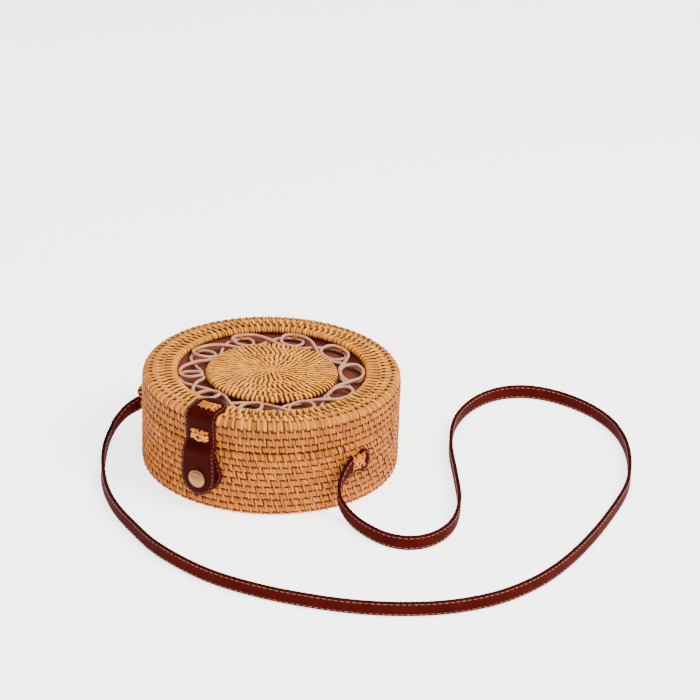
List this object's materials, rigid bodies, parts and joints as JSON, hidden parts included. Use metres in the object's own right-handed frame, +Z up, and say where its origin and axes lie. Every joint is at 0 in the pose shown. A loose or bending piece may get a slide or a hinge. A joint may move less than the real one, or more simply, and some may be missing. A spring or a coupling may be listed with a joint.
{
  "type": "round rattan handbag",
  "caption": "Round woven rattan handbag lying on its back, with a hinged lid, an openwork ring, a leather clasp tab with a press stud and a long leather strap.",
  "frame": {"origin": "centre of the flat back panel, on the surface that the bag lies on", "axes": "+Z up through the lid, -Y towards the clasp, +Y towards the hinge loops, +X to the right when facing the clasp"},
  "size_m": [0.3997, 0.4082, 0.0807],
  "materials": {
    "ata_weave": "woven smoked rattan vine, satin",
    "peeled_rod": "peeled rattan rod, satin",
    "ata_lashing": "split rattan skin, satin",
    "burgundy_leather": "smooth dark burgundy leather with pale edge stitching",
    "strap_leather": "smooth red brown leather with two rows of tan stitching",
    "champagne_metal": "satin champagne plating",
    "brown_cloth": "plain woven lining cloth"
  },
  "bodies": {
    "bag": {"body_wall": "ata_weave", "body_base": "ata_weave", "body_rim": "ata_weave", "body_tab_lashing": "ata_lashing", "strap_lashing_left": "ata_lashing", "strap_lashing_right": "ata_lashing", "hinge_loop_left": "ata_lashing", "hinge_loop_right": "ata_lashing", "body_tab": "burgundy_leather", "strap_end_left": "strap_leather", "strap_end_right": "strap_leather", "strap": "strap_leather", "snap_stud": "champagne_metal", "snap_rivet": "champagne_metal", "body_lining_floor": "brown_cloth", "body_lining_wall": "brown_cloth"},
    "lid": {"lid_ring": "ata_weave", "lid_skirt": "ata_weave", "lid_centre_disc": "ata_weave", "lid_lining_disc": "brown_cloth", "lid_lining_band": "brown_cloth", "openwork_rod_a": "peeled_rod", "openwork_rod_b": "peeled_rod", "clasp_tab": "burgundy_leather", "clasp_lashing_top": "ata_lashing", "clasp_lashing_skirt": "ata_lashing", "openwork_tie_01": "ata_lashing", "openwork_tie_02": "ata_lashing", "openwork_tie_03": "ata_lashing", "openwork_tie_04": "ata_lashing", "openwork_tie_05": "ata_lashing", "openwork_tie_06": "ata_lashing", "openwork_tie_07": "ata_lashing", "openwork_tie_08": "ata_lashing", "openwork_tie_09": "ata_lashing", "openwork_tie_10": "ata_lashing"},
    "flap": {"clasp_flap": "burgundy_leather", "snap_cap": "champagne_metal", "snap_socket": "champagne_metal"}
  },
  "joints": [
    {"name": "lid_hinge", "type": "hinge", "parent": "bag", "child": "lid", "pos_m": [0, 0.10064, 0.0523], "axis": [-1, 0, 0], "range_deg": [0, 110]},
    {"name": "flap_fold", "type": "hinge", "parent": "lid", "child": "flap", "pos_m": [0, -0.1025, 0.0556], "axis": [-1, 0, 0], "range_deg": [0, 100]}
  ]
}
